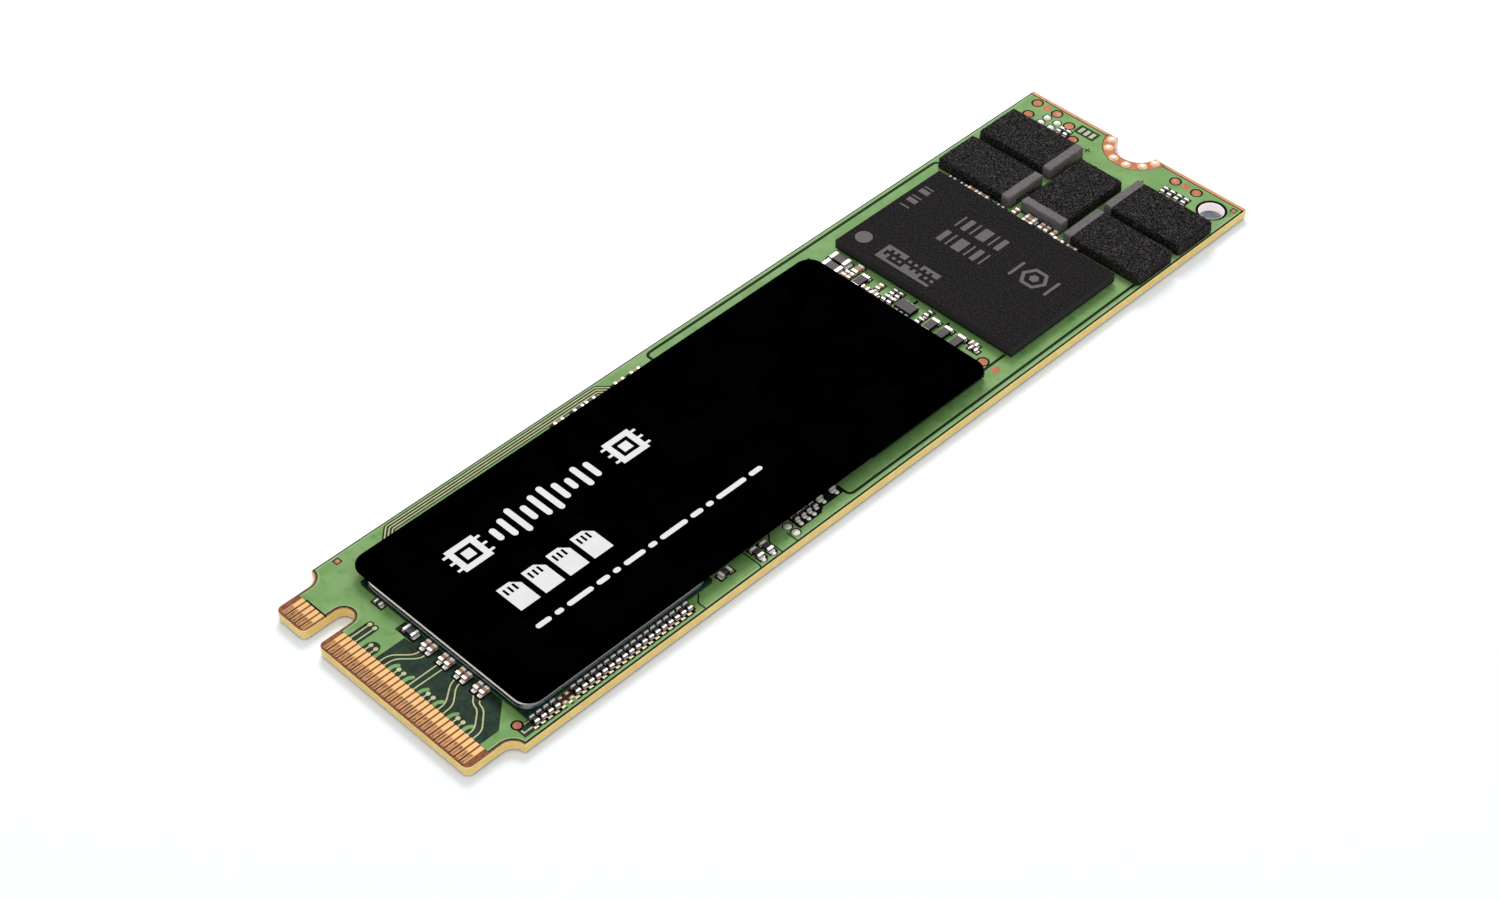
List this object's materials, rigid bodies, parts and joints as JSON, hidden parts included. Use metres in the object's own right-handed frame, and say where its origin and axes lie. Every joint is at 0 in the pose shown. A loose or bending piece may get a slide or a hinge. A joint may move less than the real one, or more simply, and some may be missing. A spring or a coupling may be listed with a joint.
{
  "type": "solid state drive",
  "caption": "Card-edge solid state drive on a long narrow circuit board, with a labelled controller and memory, an open memory package and hold-up capacitors.",
  "frame": {"origin": "centre of the connector tongue's leading edge, on the underside of the board", "axes": "+X across the board towards contact 1, +Y along the board towards the screw notch, +Z out of the component side"},
  "size_m": [0.022, 0.0802, 0.002],
  "materials": {
    "laminate": "solder-masked glass-epoxy laminate, green faces over tan edges",
    "gold_plating": "gold flash over copper, lightly worn",
    "bare_copper": "bare copper with an organic finish",
    "solder": "reflowed tin solder",
    "tin_plating": "matte tin",
    "package_substrate": "dark green package laminate",
    "silicon": "polished silicon",
    "thermal_compound": "grey thermal compound",
    "nickel_lid": "nickel-plated copper stamping",
    "package_mould": "fine-grained black moulding compound",
    "small_package_mould": "dark grey moulding compound",
    "capacitor_mould": "coarse-grained black moulding with a grey polarity band",
    "capacitor_ceramic": "tan-brown fired ceramic",
    "resistor_glaze": "dark glass glaze over ceramic",
    "ferrite": "dark grey ferrite",
    "crystal_ceramic": "brown ceramic base",
    "label_film": "black printed label film",
    "rear_label_film": "white label film"
  },
  "bodies": {
    "root": {"circuit_board": "laminate", "controller_balls": "solder", "controller_die": "silicon", "controller_lid": "nickel_lid", "controller_substrate": "package_substrate", "controller_thermal_layer": "thermal_compound", "corner_hole_barrel": "tin_plating", "coupling_capacitor_bodies": "capacitor_ceramic", "coupling_capacitor_ends": "tin_plating", "crystal_base": "crystal_ceramic", "crystal_lid": "tin_plating", "decoupling_capacitor_bodies": "capacitor_ceramic", "decoupling_capacitor_ends": "tin_plating", "edge_contacts_bottom": "gold_plating", "edge_contacts_top": "gold_plating", "end_strips": "bare_copper", "fan_out_pads": "solder", "ferrite_bead_bodies": "ferrite", "ferrite_bead_ends": "tin_plating", "firmware_flash_body": "small_package_mould", "firmware_flash_lands": "tin_plating", "hold_up_capacitor_1": "capacitor_mould", "hold_up_capacitor_2": "capacitor_mould", "hold_up_capacitor_3": "capacitor_mould", "hold_up_capacitor_4": "capacitor_mould", "hold_up_capacitor_5": "capacitor_mould", "hold_up_capacitor_lands": "bare_copper", "hold_up_capacitor_leads": "tin_plating", "labelled_memory_balls": "solder", "labelled_memory_dies": "silicon", "labelled_memory_mould": "package_mould", "labelled_memory_substrate": "package_substrate", "open_memory_balls": "solder", "open_memory_dies": "silicon", "open_memory_mould": "package_mould", "open_memory_substrate": "package_substrate", "position_marks": "bare_copper", "power_chip_body": "small_package_mould", "power_chip_lands": "tin_plating", "power_inductors": "ferrite", "rear_label": "rear_label_film", "regulator_body": "small_package_mould", "regulator_leads": "tin_plating", "screw_pad": "bare_copper", "screw_pad_vias": "solder", "sense_resistor_bodies": "resistor_glaze", "sense_resistor_ends": "tin_plating", "setting_resistor_bodies": "resistor_glaze", "setting_resistor_ends": "tin_plating", "solder_domes": "solder", "termination_resistor_bodies": "resistor_glaze", "termination_resistor_ends": "tin_plating", "test_pads": "bare_copper", "top_label": "label_film", "working_memory_balls": "solder", "working_memory_die": "silicon", "working_memory_mould": "package_mould", "working_memory_substrate": "package_substrate"}
  },
  "joints": []
}
